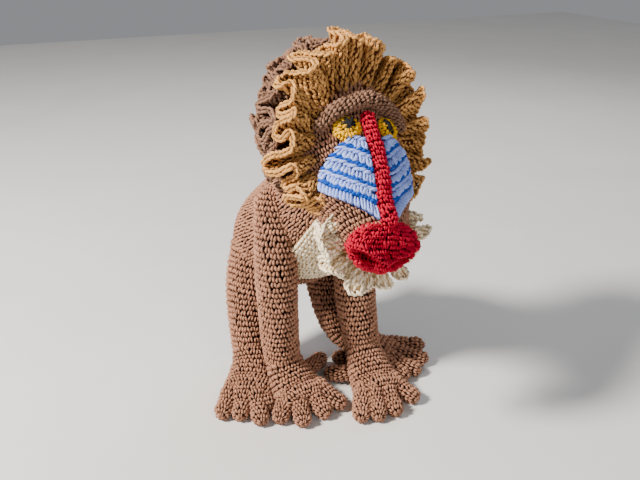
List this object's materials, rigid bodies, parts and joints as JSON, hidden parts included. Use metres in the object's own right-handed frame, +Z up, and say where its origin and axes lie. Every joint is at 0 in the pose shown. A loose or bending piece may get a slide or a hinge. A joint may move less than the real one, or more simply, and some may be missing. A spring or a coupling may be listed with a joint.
{
  "type": "crocheted mandrill toy",
  "caption": "Stuffed crocheted mandrill toy standing on hands and feet, with striped cheeks, a red nose and a ruffled mane and beard.",
  "frame": {"origin": "bottom centre of the whole toy's box, on the floor it stands on", "axes": "+Z up, the toy faces -Y, +X to the toy's left"},
  "size_m": [0.1571, 0.1726, 0.2308],
  "materials": {
    "yarn_brown": "matt crocheted yarn",
    "yarn_dark_brown": "matt crocheted yarn",
    "yarn_gold": "matt crocheted yarn",
    "yarn_cream": "matt crocheted yarn",
    "yarn_red": "matt crocheted yarn",
    "yarn_lilac": "matt crocheted yarn",
    "yarn_blue": "matt crocheted yarn",
    "yarn_yellow": "matt crocheted yarn",
    "yarn_black": "matt crocheted yarn"
  },
  "bodies": {
    "root": {"head": "yarn_brown", "brow": "yarn_dark_brown", "nose": "yarn_red", "nose_bridge": "yarn_red", "eye_right": "yarn_yellow", "pupil_right": "yarn_black", "cheek_right": "yarn_lilac", "cheek_stripe_right_1": "yarn_blue", "cheek_stripe_right_2": "yarn_blue", "cheek_stripe_right_3": "yarn_blue", "cheek_stripe_right_4": "yarn_blue", "eye_left": "yarn_yellow", "pupil_left": "yarn_black", "cheek_left": "yarn_lilac", "cheek_stripe_left_1": "yarn_blue", "cheek_stripe_left_2": "yarn_blue", "cheek_stripe_left_3": "yarn_blue", "cheek_stripe_left_4": "yarn_blue", "mane_gold": "yarn_gold", "mane_brown_1": "yarn_dark_brown", "mane_brown_2": "yarn_dark_brown", "mane_brown_3": "yarn_dark_brown", "beard": "yarn_cream", "torso": "yarn_brown", "arm_right": "yarn_brown", "hand_right": "yarn_brown", "hand_right_thumb": "yarn_brown", "hand_right_index": "yarn_brown", "hand_right_middle": "yarn_brown", "hand_right_ring": "yarn_brown", "hand_right_little": "yarn_brown", "arm_left": "yarn_brown", "hand_left": "yarn_brown", "hand_left_thumb": "yarn_brown", "hand_left_index": "yarn_brown", "hand_left_middle": "yarn_brown", "hand_left_ring": "yarn_brown", "hand_left_little": "yarn_brown", "leg_right": "yarn_brown", "foot_right": "yarn_brown", "foot_right_big": "yarn_brown", "foot_right_toe_1": "yarn_brown", "foot_right_toe_2": "yarn_brown", "foot_right_toe_3": "yarn_brown", "foot_right_toe_4": "yarn_brown", "leg_left": "yarn_brown", "foot_left": "yarn_brown", "foot_left_big": "yarn_brown", "foot_left_toe_1": "yarn_brown", "foot_left_toe_2": "yarn_brown", "foot_left_toe_3": "yarn_brown", "foot_left_toe_4": "yarn_brown", "tail": "yarn_brown", "chest_patch": "yarn_cream", "rump_right": "yarn_lilac", "rump_left": "yarn_lilac"}
  },
  "joints": []
}
